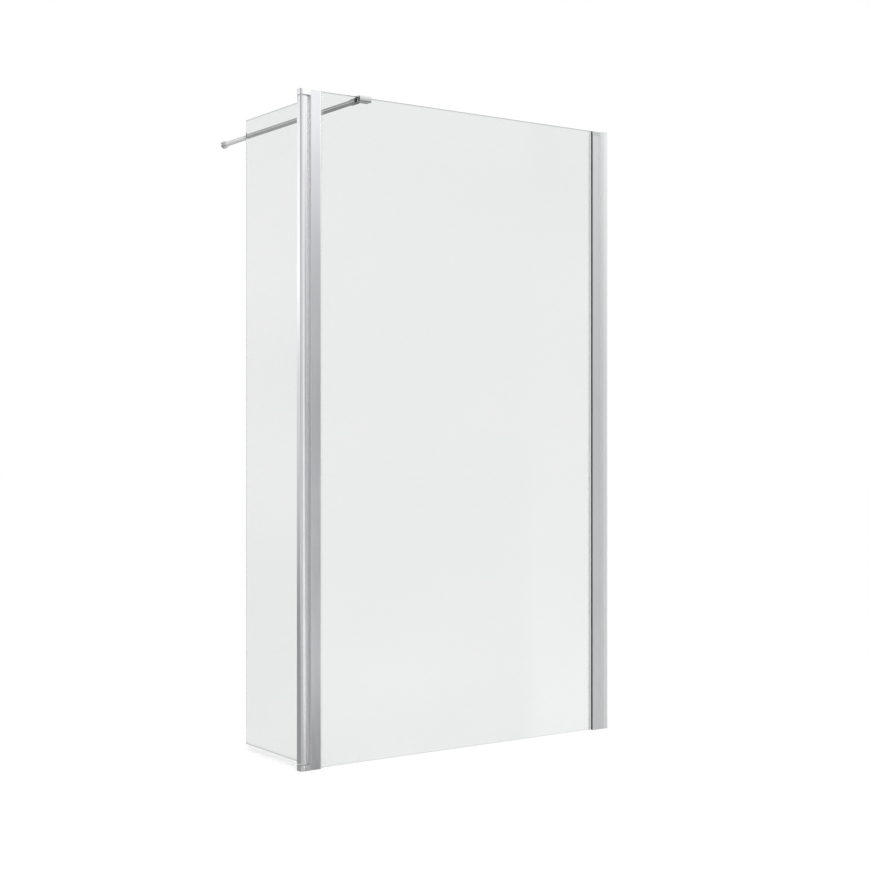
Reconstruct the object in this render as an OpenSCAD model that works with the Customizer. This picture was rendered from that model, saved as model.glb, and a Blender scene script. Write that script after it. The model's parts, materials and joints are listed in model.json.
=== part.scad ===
// Walk-in shower screen with a hinged return panel.
// A wide fixed pane runs along +X from a corner post to the wall. A narrow return pane hangs on the
// post and is folded back along +Y. A round bar braces the fixed pane to the side wall.
// The origin is on the hinge axis at floor level, +Z is up and +Y is the shower side.

/* [Overall size] */
// Height of the post and of the wall profiles
panel_h = 1950; // [1700:10:2100]
// Width from the outer corner of the post to the wall
main_w = 1155; // [700:1:1500]
// Depth from the outer corner of the post to the free edge of the return pane
return_w = 350; // [250:5:500]

/* [Glass] */
// Thickness of both panes
glass_t = 8; // [6:1:10]
// How far the fixed pane stands above its profiles
glass_rise = 1; // [0.5:0.5:8]
// Thickness of the rubber strip on each side of a pane
gasket_t = 2.5; // [2:0.1:3]
// Height of the bottom edge of the return pane above the lower end of the turning profile
pane_lift = 4.5; // [4:0.5:20]
// Drop from the upper end of the turning profile to the top edge of the return pane
pane_drop = 16; // [8:0.5:60]

/* [Hinge post] */
// Radius of the turning profile about the hinge axis
barrel_r = 14.5; // [13.5:0.1:18]
// Reach of the turning profile behind the hinge axis
cheek_d = 8; // [6:0.5:9]
// Gap between the turning profile and the fixed post profile
post_gap = 2; // [1.5:0.1:4]
// Width of the fixed post profile along the pane
post_w = 36; // [34:1:60]
// Wall thickness of the aluminium profiles
wall_t = 1.6; // [1.2:0.1:2]
// Outer edge radius of the aluminium profiles
edge_r = 0.8; // [0.3:0.1:1.2]
// Radius of the outer corner of the turning profile
corner_r = 2.5; // [1:0.1:4]
// Radius of the crown of the turning profile's outer face
crown_r = 110; // [60:5:400]
// Radius of the edges of the fixed post beside the turning profile
nose_r = 3; // [1:0.5:4]
// Height of the fixed lugs above and below the turning profile
lug_h = 16.5; // [15:0.5:30]
// Gap between a lug and the turning profile
hinge_gap = 1.5; // [1.4:0.1:3]
// Depth of the tongue of each lug inside the post profile
tongue_h = 42; // [34:1:80]

/* [Pivots] */
// Radius of the pivot pins
pin_r = 3; // [2:0.1:3.5]
// Depth to which a pivot pin is pressed into its lug
pin_seat = 11; // [8:0.5:13]
// Wall thickness of the nylon bushes
bush_wall = 1.4; // [1:0.1:1.6]
// Flange thickness of the nylon bushes
bush_flange = 0.8; // [0.5:0.1:1]
// Thickness of the end plates of the pivot blocks
block_plate = 3; // [2.2:0.1:3.2]

/* [Wall profile] */
// Depth of the wall channel out from the wall
channel_d = 29; // [27:1:45]
// Half the thickness of the wall channel
channel_hw = 15; // [14:0.5:18]
// Side wall thickness of the wall channel
channel_wall = 2; // [1.5:0.1:2.5]
// Web thickness of the wall channel against the wall
channel_web = 3; // [2.6:0.1:4]
// Visible width of the glazing profile beside the wall channel
glazing_face = 32; // [30:1:60]
// Travel of the glazing profile each way in the wall channel
travel = 9; // [4:0.5:9]
// Height of the end cap on top of the glazing profile
cap_h = 14; // [8:0.5:25]
// Height of the first and last wall screw above the floor and below the top
wall_hole_end = 100; // [50:5:200]
// Spacing of the two inner wall screws
wall_hole_inner = 600; // [200:10:900]
// Radius of the wall screw holes
wall_hole_r = 2.6; // [2:0.1:3.5]

/* [Stabiliser bar] */
// Distance of the bar from the hinge axis along the fixed pane
bar_x = 190; // [150:5:900]
// Height of the bar axis below the top of the post
bar_drop = 7.5; // [5.5:0.5:9]
// Distance from the middle of the fixed pane to the side wall
bar_reach = 858; // [500:1:1400]
// Outer radius of the bar
bar_r = 8; // [6:0.1:8.5]
// Wall thickness of the bar
bar_wall = 1.5; // [1:0.1:2]
// Wall thickness of the sockets that hold the bar
socket_wall = 2; // [1.5:0.1:2.5]
// Length of the socket on the glass clamp
clamp_socket = 28; // [20:1:40]
// Length of the glass clamp along the pane
clamp_w = 40; // [38:1:60]
// Grip of the glass clamp below the top edge of the pane
clamp_grip = 14.5; // [11:0.5:30]
// Radius of the flange against the side wall
flange_r = 12.5; // [12:0.5:20]

/* [Bottom seal] */
// Gap under the wiping fins of the bottom seal
seal_gap = 0.8; // [0.5:0.1:2]
// Wall thickness of the bottom seal
seal_t = 1.2; // [0.8:0.1:1.5]
// Height of the seal's legs on the return pane
seal_grip = 9; // [6:1:25]

/* [Hidden] */
$fn = 64;

// Clearances
slide_gap = 0.1;
run_gap = 0.05;
press_gap = 0.02;
soft_gap = 0.3;
cut = 1;

// Thickness of the plates that close the profiles and carry the fixed pane
foot_t = 1.2;
// Half the width of every glazing slot
slot_hw = glass_t / 2 + gasket_t;
// Groove in a glazing slot that holds the bead of a gasket
bead_at = 5;
bead_w = 2;
bead_d = 0.7;
// Root of a gasket's bead inside its stem
bead_root = 0.5;
// Countersinks of the flush screws, and how far each widens
sink_h = 1.6;

// Fixed post
post_x = barrel_r + post_gap;
post_end = post_x + post_w;
post_wall = 2;
post_slot = 16.5;
post_web = 2.5;
glass_edge_gap = 2;
main_x0 = post_end - post_slot + glass_edge_gap;
tongue_x0 = post_x + post_wall;
tongue_x1 = post_end - post_slot - post_web;
tongue_hw = barrel_r - post_wall + 0.2;
post_fin = 14;
lug_screw_z = [14, 34];
lug_screw_x = (tongue_x0 + tongue_x1) / 2;
lug_screw_r = 2;
lug_screw_len = 11;
lug_head_r = 3.8;
lug_head_h = 2.2;

// Lip seal in the post, in a T slot that faces the turning profile
seal_lip_hw = 0.7;
seal_root_hw = 2.2;
seal_neck_hw = 0.9;
seal_head_hw = 2.1;
seal_neck_d = 1.6;
seal_head_d = 1.8;
seal_boss_hw = seal_head_hw + wall_t;
seal_boss_d = seal_neck_d + seal_head_d + 1.2;

// Turning profile
rotor_z0 = lug_h + hinge_gap;
rotor_z1 = panel_h - rotor_z0;
return_bottom = rotor_z0 + pane_lift;
return_drop = rotor_z0 + pane_drop;
return_slot = 6.5;
return_y0 = -return_slot + 1.5;
return_y1 = return_w - barrel_r;
return_top = panel_h - return_drop;
corner_y = crown_r - barrel_r - sqrt(pow(crown_r - corner_r, 2) - pow(barrel_r - corner_r, 2));
crown_x = -(barrel_r - corner_r) * crown_r / (crown_r - corner_r);
cheek_bead = 3;
port_r = 1.9;
port_wall = 1.3;
port_screw_len = 14;
port_front = [-(barrel_r + slot_hw) / 2 + 0.3, -(barrel_r + slot_hw) / 2 + 0.3];
port_side = [(barrel_r + slot_hw) / 2, 2.5];
bush_r = pin_r + run_gap + bush_wall;
flange_bush_r = bush_r + 2.4;
washer_t = hinge_gap - bush_flange - slide_gap;
pin_tip_gap = 0.5;

// Wall profiles
wall_x = main_w - barrel_r;
channel_x = wall_x - channel_d;
glazing_x0 = channel_x - glazing_face;
glazing_x1 = wall_x - channel_web - travel - slide_gap;
glazing_hw = channel_hw - channel_wall - slide_gap;
glazing_slot = 24;
main_x1 = glazing_x0 + glazing_slot - glass_edge_gap;
main_top = panel_h + glass_rise;
profile_top = panel_h - foot_t;
glazing_top = profile_top - slide_gap;
glazing_cut = panel_h - cap_h;
wall_fin = 9;
wall_holes = [
    wall_hole_end,
    panel_h / 2 - wall_hole_inner / 2,
    panel_h / 2 + wall_hole_inner / 2,
    panel_h - wall_hole_end
];
lock_x = glazing_x1 - 5;
lock_z = [120, panel_h / 2, panel_h - 120];
lock_r = 2.1;
lock_boss = 3;
lock_land = 6;
plug_h = 8;
lock_head_r = 3.9;
lock_head_h = 2.4;
washer_r = 4.5;
washer_h = 0.8;
peg_r = 0.9;
peg_h = 6;
peg_y = channel_hw - 5;
flute_r = 11;
flute_d = 0.5;
flute_at = [10.5, 23.5];

// Bar, glass clamp and wall flange
bar_z = panel_h - bar_drop;
socket_r = bar_r + socket_wall;
bar_y0 = 16;
clamp_x0 = bar_x - 6;
clamp_x1 = clamp_x0 + clamp_w;
clamp_z0 = main_top - clamp_grip;
liner_t = 1;
clamp_roof = 3;
clamp_z1 = main_top + liner_t + clamp_roof;
clamp_hw = 14;
clamp_screw_at = [22, 32];
clamp_screw_r = 3;
clamp_screw_z = (clamp_z0 + main_top) / 2;
clamp_round = 3;
grub_r = 2;
grub_in = 8;
cup_grub_r = 1.5;
flange_t = 12;
flange_bevel = 1.5;
collar_l = 12;
plate_r = flange_r - 2.5;
plate_h = 4;
bar_y1 = bar_reach - plate_h - 0.5;

// Bottom seal
seal_y0 = norm([post_x, barrel_r]) + soft_gap;
seal_y1 = return_y1 + 1.5;
seal_body_h = 13;
seal_fin_out = 2.2;

chrome = "silver";
polished = "lightsteelblue";
pane = [0.78, 0.86, 0.84, 0.35];
clear_strip = [0.93, 0.95, 0.96, 0.6];

// Rectangle between two corners with all four corners rounded
module round_box(a, b, r) {
    translate([a[0] + r, a[1]]) square([b[0] - a[0] - 2 * r, b[1] - a[1]]);
    translate([a[0], a[1] + r]) square([b[0] - a[0], b[1] - a[1] - 2 * r]);
    for (x = [a[0] + r, b[0] - r], y = [a[1] + r, b[1] - r]) translate([x, y]) circle(r = r);
}

// Rectangle between two corners
module flat_box(a, b) {
    translate(a) square([b[0] - a[0], b[1] - a[1]]);
}

// Upright bar of a flat outline between two heights
module upright(z0, z1) {
    translate([0, 0, z0]) linear_extrude(z1 - z0) children();
}

// Turns what points along +Z so that it points along +Y
module along_y() {
    rotate([-90, 0, 0]) children();
}

// Flips a piece made for the bottom of the screen to the top
module at_top() {
    translate([0, 0, panel_h]) mirror([0, 0, 1]) children();
}

// Pan head screw that points down from its seat at the origin
module pan_screw(length, r, head_r, head_h) {
    difference() {
        union() {
            translate([0, 0, -length]) cylinder(r = r, h = length);
            cylinder(r = head_r, h = head_h);
        }
        translate([0, 0, head_h * 0.4]) cylinder(r = head_r * 0.45, h = head_h, $fn = 6);
    }
}

// Countersunk screw that points down from its flush face at the origin
module flush_screw(length, r, head_r, head_h) {
    difference() {
        union() {
            translate([0, 0, -length]) cylinder(r = r, h = length);
            translate([0, 0, -head_h]) cylinder(r1 = r, r2 = head_r, h = head_h);
        }
        translate([0, 0, -head_h * 0.6]) cylinder(r = head_r * 0.45, h = head_h, $fn = 6);
    }
}

// Headless screw with a hexagon socket, from its tip at the origin up
module grub_screw(length, r) {
    difference() {
        cylinder(r = r, h = length);
        translate([0, 0, length * 0.45]) cylinder(r = r * 0.55, h = length, $fn = 6);
    }
}

// Outline of the hinge post around the axis: a barrel whose outer corner is squared off. Its outer
// face is slightly crowned, and runs on smoothly into the barrel and into the round of the corner.
module barrel_outline(back) {
    intersection() {
        union() {
            circle(r = barrel_r, $fn = 96);
            intersection() {
                translate([0, crown_r - barrel_r]) circle(r = crown_r, $fn = 720);
                flat_box([crown_x, -barrel_r], [0, cheek_d]);
            }
            translate([-barrel_r + corner_r, corner_y]) circle(r = corner_r);
            flat_box([-barrel_r, corner_y], [0, cheek_d - edge_r]);
            flat_box([-barrel_r + edge_r, corner_y], [0, cheek_d]);
            translate([-barrel_r + edge_r, cheek_d - edge_r]) circle(r = edge_r);
        }
        flat_box([-barrel_r, -barrel_r], [barrel_r, back]);
    }
}

// Outline of the fixed post profile, with fuller edges beside the turning profile
module post_outline() {
    round_box([post_x, -barrel_r], [post_end - 2 * nose_r, barrel_r], nose_r);
    round_box([post_x + 2 * nose_r, -barrel_r], [post_end, barrel_r], edge_r);
}

// Slot for a pane, open at one end, with a bead groove in each side
module glazing_slot_outline(mouth, inward, depth) {
    end = mouth + inward * depth;
    open = mouth - inward * cut;
    groove = mouth + inward * bead_at;
    flat_box([min(open, end), -slot_hw], [max(open, end), slot_hw]);
    flat_box([groove - bead_w / 2, -slot_hw - bead_d], [groove + bead_w / 2, slot_hw + bead_d]);
}

// Bead of a gasket, in the groove at x
module gasket_bead(x) {
    flat_box([x - bead_w / 2 + slide_gap, slot_hw - bead_root],
             [x + bead_w / 2 - slide_gap, slot_hw + bead_d - slide_gap]);
}

// Outline of the glazing profile that slides in the wall channel
module glazing_outline() {
    round_box([glazing_x0, -glazing_hw], [glazing_x1, glazing_hw], edge_r);
}

// Hollows beside and behind the glass slot of the glazing profile
module glazing_chambers(gap) {
    slot_end = glazing_x0 + glazing_slot;
    for (side = [-1, 1]) {
        y0 = side * (slot_hw + wall_t + gap);
        y1 = side * (glazing_hw - wall_t - gap);
        flat_box([glazing_x0 + wall_t + gap, min(y0, y1)], [slot_end - gap, max(y0, y1)]);
    }
    difference() {
        flat_box([slot_end + wall_t + gap, -glazing_hw + wall_t + gap],
                 [glazing_x1 - wall_t - gap, glazing_hw - wall_t - gap]);
        flat_box([lock_x - lock_land - gap, glazing_hw - lock_boss - gap], [glazing_x1, glazing_hw]);
    }
}

// Section of the wall channel, with two shallow flutes down its front and back faces
module channel_outline() {
    difference() {
        round_box([channel_x, -channel_hw], [wall_x, channel_hw], edge_r);
        for (x = flute_at, side = [-1, 1]) {
            translate([channel_x + x, side * (channel_hw + flute_r - flute_d)]) circle(r = flute_r);
        }
    }
}

module wall_channel() color(chrome) {
    difference() {
        upright(0, profile_top) difference() {
            channel_outline();
            flat_box([channel_x - cut, -channel_hw + channel_wall],
                     [wall_x - channel_web, channel_hw - channel_wall]);
        }
        for (z = wall_holes) {
            translate([wall_x - channel_web - cut, 0, z]) rotate([0, 90, 0])
                cylinder(r = wall_hole_r, h = channel_web + 2 * cut);
        }
        for (z = lock_z) lock_slot(z);
        for (side = [-1, 1]) {
            translate([wall_x - channel_web / 2, side * peg_y, profile_top - peg_h - 0.2])
                cylinder(r = peg_r + press_gap, h = peg_h + cut);
        }
    }
}

// Slot in the back wall of the channel along which a lock screw slides
module lock_slot(z) {
    half = travel;
    r = lock_r + slide_gap;
    for (x = [-half, half]) {
        translate([lock_x + x, channel_hw - channel_wall - cut, z]) along_y()
            cylinder(r = r, h = channel_wall + 2 * cut);
    }
    translate([lock_x - half, channel_hw - channel_wall - cut, z - r])
        cube([2 * half, channel_wall + 2 * cut, 2 * r]);
}

module wall_channel_cap() color(polished) {
    upright(profile_top, panel_h) round_box([channel_x, -channel_hw], [wall_x, channel_hw], edge_r);
    for (side = [-1, 1]) {
        translate([wall_x - channel_web / 2, side * peg_y, profile_top - peg_h])
            cylinder(r = peg_r, h = peg_h + foot_t / 2);
    }
}

module glazing_profile() color(chrome) {
    difference() {
        upright(foot_t, glazing_cut) difference() {
            glazing_outline();
            glazing_slot_outline(glazing_x0, 1, glazing_slot);
            glazing_chambers(0);
        }
        for (z = lock_z) {
            translate([lock_x, glazing_hw - lock_boss - cut, z]) along_y()
                cylinder(r = lock_r + press_gap, h = lock_boss + 2 * cut);
        }
    }
}

// Moulded end cap, with legs that plug into the hollows of the glazing profile
module glazing_cap_top() color("slategray") {
    difference() {
        upright(glazing_cut, glazing_top) glazing_outline();
        upright(glazing_cut - cut, panel_h)
            flat_box([glazing_x0 - cut, -glass_t / 2 - slide_gap], [main_x1 + 1, glass_t / 2 + slide_gap]);
    }
    upright(glazing_cut - plug_h, glazing_cut + cut) glazing_chambers(slide_gap);
}

module glazing_cap_bottom() color("slategray") {
    upright(0, foot_t) glazing_outline();
    upright(foot_t - cut, foot_t + plug_h) glazing_chambers(slide_gap);
}

// Rubber strip in the glazing profile: a stem in the slot and a bulb that closes the mouth
module wall_gasket() color([0.2, 0.21, 0.22]) {
    face = glass_t / 2 + press_gap;
    upright(foot_t, glazing_cut) {
        flat_box([glazing_x0, face], [main_x1 - glass_edge_gap, slot_hw]);
        gasket_bead(glazing_x0 + bead_at);
    }
    upright(foot_t, glazing_top) polygon([
        [glazing_x0 - wall_fin, face], [glazing_x0, face], [glazing_x0, glazing_hw - 1.2],
        [glazing_x0 - 1.4, glazing_hw - 1.6], [glazing_x0 - 3, glazing_hw - 3.4],
        [glazing_x0 - 3.4, face + 0.8], [glazing_x0 - wall_fin, face + 0.6]
    ]);
}

module wall_gasket_front() {
    mirror([0, 1, 0]) wall_gasket();
}

module wall_gasket_back() {
    wall_gasket();
}

module lock_screws() color("gray") {
    seat = channel_hw + run_gap + washer_h;
    for (z = lock_z) {
        translate([lock_x, seat, z]) along_y()
            pan_screw(seat - glazing_hw + lock_boss + 1, lock_r, lock_head_r, lock_head_h);
    }
}

module lock_washers() color("gainsboro") {
    for (z = lock_z) {
        translate([lock_x, channel_hw + run_gap, z]) along_y() difference() {
            cylinder(r = washer_r, h = washer_h);
            translate([0, 0, -cut]) cylinder(r = lock_r + run_gap, h = washer_h + 2 * cut);
        }
    }
}

module main_glass() color(pane) {
    translate([main_x0, -glass_t / 2, foot_t]) cube([main_x1 - main_x0, glass_t, main_top - foot_t]);
}

// Fixed post profile: a hollow for the lug tongues, a glass slot with hollow sides and a T slot
module post_profile() color(chrome) {
    difference() {
        upright(foot_t, profile_top) difference() {
            post_outline();
            glazing_slot_outline(post_end, -1, post_slot);
            difference() {
                flat_box([tongue_x0, -barrel_r + post_wall], [tongue_x1, barrel_r - post_wall]);
                flat_box([tongue_x0 - cut, -seal_boss_hw], [post_x + seal_boss_d, seal_boss_hw]);
            }
            for (side = [-1, 1]) {
                y0 = side * (slot_hw + bead_d + wall_t);
                y1 = side * (barrel_r - wall_t);
                flat_box([tongue_x1 + post_web, min(y0, y1)], [post_end - wall_t, max(y0, y1)]);
            }
            flat_box([post_x - cut, -seal_neck_hw], [post_x + seal_neck_d + cut, seal_neck_hw]);
            flat_box([post_x + seal_neck_d, -seal_head_hw],
                     [post_x + seal_neck_d + seal_head_d, seal_head_hw]);
        }
        lug_notch();
        at_top() lug_notch();
        lug_screw_holes(lug_screw_r + 0.2);
        at_top() lug_screw_holes(lug_screw_r + 0.2);
    }
}

// Cut in the end of the post profile that takes the lug and lets it reach its tongue
module lug_notch() {
    upright(-cut, lug_h + slide_gap) {
        flat_box([post_x - cut, -barrel_r - cut], [post_x + nose_r + slide_gap, barrel_r + cut]);
        flat_box([post_x, -tongue_hw], [post_x + seal_boss_d + slide_gap, tongue_hw]);
    }
}

// Screw holes through the back of the post profile into the lower tongue
module lug_screw_holes(r) {
    for (z = lug_screw_z) {
        translate([lug_screw_x, barrel_r - lug_screw_len - cut, z]) along_y()
            cylinder(r = r, h = lug_screw_len + 2 * cut);
    }
}

// Clear strip in the post slot: a stem with a bead and a long thin fin along the pane
module post_gasket() color(clear_strip) {
    face = glass_t / 2 + press_gap;
    upright(foot_t, profile_top) {
        flat_box([main_x0 + glass_edge_gap, face], [post_end, slot_hw]);
        gasket_bead(post_end - bead_at);
        polygon([
            [post_end - cut, face], [post_end + post_fin, face], [post_end + post_fin, face + 0.5],
            [post_end + 3, face + 1.4], [post_end, slot_hw], [post_end - cut, slot_hw]
        ]);
    }
}

module post_gasket_front() {
    mirror([0, 1, 0]) post_gasket();
}

module post_gasket_back() {
    post_gasket();
}

// Lip seal that closes the gap between the two halves of the post
module post_seal() color(clear_strip) {
    tip = barrel_r + soft_gap;
    neck = seal_neck_hw - slide_gap;
    head = seal_head_hw - slide_gap;
    upright(lug_h + 2 * slide_gap, panel_h - lug_h - 2 * slide_gap) {
        polygon([
            [tip, -seal_lip_hw], [post_x, -seal_root_hw], [post_x, seal_root_hw], [tip, seal_lip_hw]
        ]);
        flat_box([post_x - 0.5, -neck], [post_x + seal_neck_d + 0.5, neck]);
        flat_box([post_x + seal_neck_d + slide_gap, -head],
                 [post_x + seal_neck_d + seal_head_d - slide_gap, head]);
    }
}

// Lug as made for the bottom: an arm around the hinge axis, a closing plate and a tongue
module pivot_lug(glass_through) {
    difference() {
        union() {
            upright(0, lug_h) {
                barrel_outline(barrel_r);
                flat_box([0, -barrel_r], [post_x + nose_r, barrel_r]);
                flat_box([post_x, -tongue_hw + slide_gap], [tongue_x0 + cut, tongue_hw - slide_gap]);
            }
            upright(0, foot_t) round_box([post_x, -barrel_r], [post_end, barrel_r], edge_r);
            upright(foot_t - cut, tongue_h)
                flat_box([tongue_x0 + slide_gap, -barrel_r + post_wall + slide_gap],
                         [tongue_x1 - slide_gap, barrel_r - post_wall - slide_gap]);
        }
        upright(lug_h, tongue_h + cut)
            flat_box([tongue_x0 - cut, -seal_boss_hw - slide_gap],
                     [post_x + seal_boss_d + slide_gap, seal_boss_hw + slide_gap]);
        translate([0, 0, lug_h - pin_seat]) cylinder(r = pin_r + press_gap, h = pin_seat + cut);
        lug_screw_holes(lug_screw_r + run_gap);
        if (glass_through) {
            upright(-cut, foot_t + cut)
                flat_box([tongue_x1 + post_web, -slot_hw], [post_end + cut, slot_hw]);
        }
    }
}

module top_pivot_lug() color(polished) {
    at_top() pivot_lug(true);
}

module bottom_pivot_lug() color(polished) {
    pivot_lug(false);
}

module lug_screws() color("gray") {
    for (z = concat(lug_screw_z, [for (d = lug_screw_z) panel_h - d])) {
        translate([lug_screw_x, barrel_r, z]) along_y()
            pan_screw(lug_screw_len, lug_screw_r, lug_head_r, lug_head_h);
    }
}

module top_pivot_pin() color("dimgray") {
    tip = return_top + pin_tip_gap;
    translate([0, 0, tip]) cylinder(r = pin_r, h = panel_h - lug_h + pin_seat - tip);
}

module bottom_pivot_pin() color("dimgray") {
    seat = lug_h - pin_seat;
    translate([0, 0, seat]) cylinder(r = pin_r, h = return_bottom - pin_tip_gap - seat);
}

// Washer on the lower lug that carries the weight of the return panel
module thrust_washer() color("white") {
    translate([0, 0, lug_h]) difference() {
        cylinder(r = flange_bush_r + 1, h = washer_t);
        translate([0, 0, -cut]) cylinder(r = pin_r + run_gap, h = washer_t + 2 * cut);
    }
}

// Saddle over the top edge of the pane, with a socket for the bar behind it
module bar_clamp() color(polished) {
    slot_half = glass_t / 2 + liner_t;
    difference() {
        union() {
            translate([clamp_x0, 0, 0]) rotate([90, 0, 90]) linear_extrude(clamp_w)
                round_box([-clamp_hw, clamp_z0], [clamp_hw, clamp_z1], clamp_round);
            translate([bar_x, clamp_hw - 4, bar_z]) along_y() cylinder(r = socket_r, h = clamp_socket + 4);
        }
        translate([clamp_x0 - cut, -slot_half, clamp_z0 - cut])
            cube([clamp_w + 2 * cut, 2 * slot_half, main_top + liner_t - clamp_z0 + cut]);
        translate([bar_x, bar_y0 - 0.5, bar_z]) along_y()
            cylinder(r = bar_r + run_gap, h = clamp_hw + clamp_socket);
        for (x = clamp_screw_at) {
            translate([clamp_x0 + x, slot_half - cut, clamp_screw_z]) along_y()
                cylinder(r = clamp_screw_r + run_gap, h = clamp_hw);
        }
        translate([bar_x, clamp_hw + clamp_socket - grub_in, bar_z - socket_r - cut])
            cylinder(r = grub_r + run_gap, h = socket_r);
    }
}

// Clear folded strip between the clamp and the pane
module clamp_liner() color(clear_strip) {
    outer = glass_t / 2 + liner_t;
    inner = glass_t / 2 + press_gap;
    difference() {
        translate([clamp_x0 + 0.5, -outer, clamp_z0])
            cube([clamp_w - 1, 2 * outer, main_top + liner_t - clamp_z0]);
        translate([clamp_x0 - cut, -inner, clamp_z0 - cut])
            cube([clamp_w + 2 * cut, 2 * inner, main_top + press_gap - clamp_z0 + cut]);
    }
}

module clamp_screws() color("dimgray") {
    tip = glass_t / 2 + liner_t;
    for (x = clamp_screw_at) {
        translate([clamp_x0 + x, tip, clamp_screw_z]) along_y()
            grub_screw(clamp_hw - tip - 0.5, clamp_screw_r);
    }
}

module stabiliser_bar() color(chrome) {
    translate([bar_x, bar_y0, bar_z]) along_y() difference() {
        cylinder(r = bar_r, h = bar_y1 - bar_y0);
        translate([0, 0, -cut]) cylinder(r = bar_r - bar_wall, h = bar_y1 - bar_y0 + 2 * cut);
    }
}

// Stepped cup that hides the wall plate and takes the end of the bar
module bar_wall_socket() color(polished) {
    base = bar_reach - flange_t;
    mouth = base - collar_l;
    translate([bar_x, 0, bar_z]) difference() {
        union() {
            translate([0, mouth, 0]) along_y() cylinder(r = socket_r, h = collar_l + 1);
            translate([0, base, 0]) along_y()
                cylinder(r1 = flange_r - flange_bevel, r2 = flange_r, h = flange_bevel);
            translate([0, base + flange_bevel, 0]) along_y()
                cylinder(r = flange_r, h = flange_t - flange_bevel);
        }
        translate([0, mouth - cut, 0]) along_y()
            cylinder(r = bar_r + run_gap, h = collar_l + flange_t - plate_h + cut);
        translate([0, bar_reach - plate_h, 0]) along_y() cylinder(r = plate_r + press_gap, h = plate_h + cut);
        translate([0, mouth + collar_l / 2, -socket_r - cut]) cylinder(r = grub_r + run_gap, h = socket_r);
        translate([0, bar_reach - plate_h / 2, -flange_r - cut])
            cylinder(r = cup_grub_r + run_gap, h = flange_r);
    }
}

module bar_wall_plate() color("gray") {
    translate([bar_x, bar_reach - plate_h, bar_z]) along_y() difference() {
        cylinder(r = plate_r, h = plate_h);
        translate([0, 0, -cut]) cylinder(r = wall_hole_r, h = plate_h + 2 * cut);
        cylinder(r1 = wall_hole_r + 2, r2 = wall_hole_r, h = sink_h);
    }
}

module bar_grub_screws() color("dimgray") {
    grip = socket_wall - run_gap;
    for (y = [clamp_hw + clamp_socket - grub_in, bar_reach - flange_t - collar_l / 2]) {
        translate([bar_x, y, bar_z - bar_r - run_gap]) mirror([0, 0, 1]) grub_screw(grip, grub_r);
    }
    translate([bar_x, bar_reach - plate_h / 2, bar_z - plate_r - press_gap]) mirror([0, 0, 1])
        grub_screw(flange_r - plate_r - press_gap - slide_gap, cup_grub_r);
}

// Section of the turning profile: glass slot across the axis, hollows and two screw ports
module return_section() {
    inner = barrel_r - wall_t;
    difference() {
        barrel_outline(cheek_d);
        flat_box([-slot_hw, -return_slot], [slot_hw, cheek_d + cut]);
        flat_box([-slot_hw - bead_d, cheek_d - cheek_bead - bead_w / 2],
                 [slot_hw + bead_d, cheek_d - cheek_bead + bead_w / 2]);
        flat_box([-inner, port_front[1] + port_r + port_wall], [-slot_hw - bead_d - 1, cheek_d - wall_t]);
        intersection() {
            circle(r = inner, $fn = 96);
            union() {
                flat_box([port_front[0] + port_r + port_wall, -barrel_r],
                         [slot_hw - 1, -return_slot - wall_t]);
                flat_box([slot_hw + wall_t, -barrel_r], [barrel_r, port_side[1] - port_r - port_wall]);
            }
        }
        for (p = [port_front, port_side]) translate(p) circle(r = port_r);
    }
}

module return_profile() color(chrome) {
    upright(rotor_z0 + block_plate, rotor_z1 - block_plate) return_section();
}

// Block that closes the end of the turning profile and holds a bush, as made for the bottom
module pivot_block(plug_end) {
    difference() {
        union() {
            upright(rotor_z0, rotor_z0 + block_plate) barrel_outline(cheek_d);
            upright(rotor_z0 + block_plate - cut, plug_end)
                flat_box([-slot_hw + slide_gap, -return_slot + slide_gap], [slot_hw - slide_gap, cheek_d]);
        }
        translate([0, 0, rotor_z0 - cut]) cylinder(r = bush_r + press_gap, h = plug_end);
        for (p = [port_front, port_side]) translate([p[0], p[1], rotor_z0]) {
            translate([0, 0, -cut]) cylinder(r = port_r + run_gap, h = block_plate + 2 * cut);
            cylinder(r1 = port_r + sink_h, r2 = port_r + run_gap, h = sink_h);
        }
    }
}

module top_pivot_block() color("slategray") {
    at_top() pivot_block(return_drop);
}

module bottom_pivot_block() color("slategray") {
    pivot_block(return_bottom);
}

// Flanged nylon bush, as made for the bottom
module pivot_bush(plug_end) {
    difference() {
        union() {
            translate([0, 0, rotor_z0 - bush_flange]) cylinder(r = flange_bush_r, h = bush_flange);
            translate([0, 0, rotor_z0 - bush_flange])
                cylinder(r = bush_r, h = plug_end - rotor_z0 + bush_flange);
        }
        translate([0, 0, rotor_z0 - bush_flange - cut]) cylinder(r = pin_r + run_gap, h = plug_end);
    }
}

module top_bush() color("white") {
    at_top() pivot_bush(return_drop);
}

module bottom_bush() color("white") {
    pivot_bush(return_bottom);
}

// Countersunk screws that hold a pivot block in the screw ports
module block_screw_pair() {
    for (p = [port_front, port_side]) translate([p[0], p[1], rotor_z0]) mirror([0, 0, 1])
        flush_screw(port_screw_len, port_r - run_gap, port_r + sink_h - slide_gap, sink_h);
}

module pivot_block_screws() color("gray") {
    block_screw_pair();
    at_top() block_screw_pair();
}

module return_glass() color(pane) {
    translate([-glass_t / 2, return_y0, return_bottom])
        cube([glass_t, return_y1 - return_y0, return_top - return_bottom]);
}

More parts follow.
